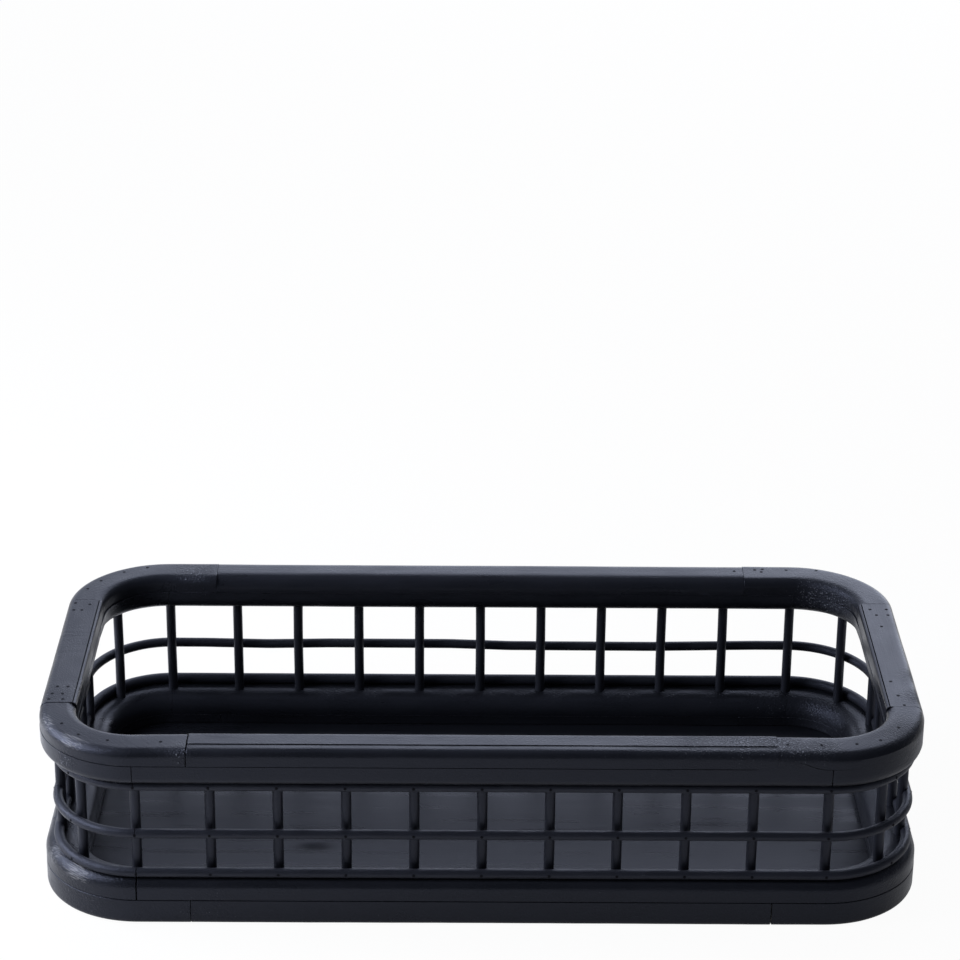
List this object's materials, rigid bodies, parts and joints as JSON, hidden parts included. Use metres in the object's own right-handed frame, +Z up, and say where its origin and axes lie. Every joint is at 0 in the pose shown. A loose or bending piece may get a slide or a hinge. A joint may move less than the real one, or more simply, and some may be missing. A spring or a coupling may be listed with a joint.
{
  "type": "decorative tray",
  "caption": "Rectangular gallery tray of black painted wood with rounded corners, laminated top and bottom rails, and an open cage of round spindles tied by bent hoops.",
  "frame": {"origin": "middle of the footprint, on the plane of the bottom rail's underside", "axes": "+X along the tray's length to the right, +Y to the back, +Z up"},
  "size_m": [0.508, 0.254, 0.112],
  "materials": {
    "rail_paint": "satin black paint on glued wood, worn along the edges",
    "rod_paint": "satin black paint on round wooden rod",
    "floor_paint": "satin black paint on plywood with long streaky grain"
  },
  "bodies": {
    "root": {"top_rail_front": "rail_paint", "top_rail_back": "rail_paint", "top_rail_left": "rail_paint", "top_rail_right": "rail_paint", "top_rail_corner_front_left": "rail_paint", "top_rail_corner_front_right": "rail_paint", "top_rail_corner_back_right": "rail_paint", "top_rail_corner_back_left": "rail_paint", "bottom_rail_front": "rail_paint", "bottom_rail_back": "rail_paint", "bottom_rail_left": "rail_paint", "bottom_rail_right": "rail_paint", "bottom_rail_corner_front_left": "rail_paint", "bottom_rail_corner_front_right": "rail_paint", "bottom_rail_corner_back_right": "rail_paint", "bottom_rail_corner_back_left": "rail_paint", "floor_panel": "floor_paint", "top_hoop": "rod_paint", "middle_hoop": "rod_paint", "bottom_hoop": "rod_paint", "front_spindle_01": "rod_paint", "front_spindle_02": "rod_paint", "front_spindle_03": "rod_paint", "front_spindle_04": "rod_paint", "front_spindle_05": "rod_paint", "front_spindle_06": "rod_paint", "front_spindle_07": "rod_paint", "front_spindle_08": "rod_paint", "front_spindle_09": "rod_paint", "front_spindle_10": "rod_paint", "front_spindle_11": "rod_paint", "back_spindle_01": "rod_paint", "back_spindle_02": "rod_paint", "back_spindle_03": "rod_paint", "back_spindle_04": "rod_paint", "back_spindle_05": "rod_paint", "back_spindle_06": "rod_paint", "back_spindle_07": "rod_paint", "back_spindle_08": "rod_paint", "back_spindle_09": "rod_paint", "back_spindle_10": "rod_paint", "back_spindle_11": "rod_paint", "left_spindle_01": "rod_paint", "left_spindle_02": "rod_paint", "left_spindle_03": "rod_paint", "left_spindle_04": "rod_paint", "left_spindle_05": "rod_paint", "right_spindle_01": "rod_paint", "right_spindle_02": "rod_paint", "right_spindle_03": "rod_paint", "right_spindle_04": "rod_paint", "right_spindle_05": "rod_paint", "corner_spindle_front_left": "rod_paint", "corner_spindle_front_right": "rod_paint", "corner_spindle_back_right": "rod_paint", "corner_spindle_back_left": "rod_paint"}
  },
  "joints": []
}
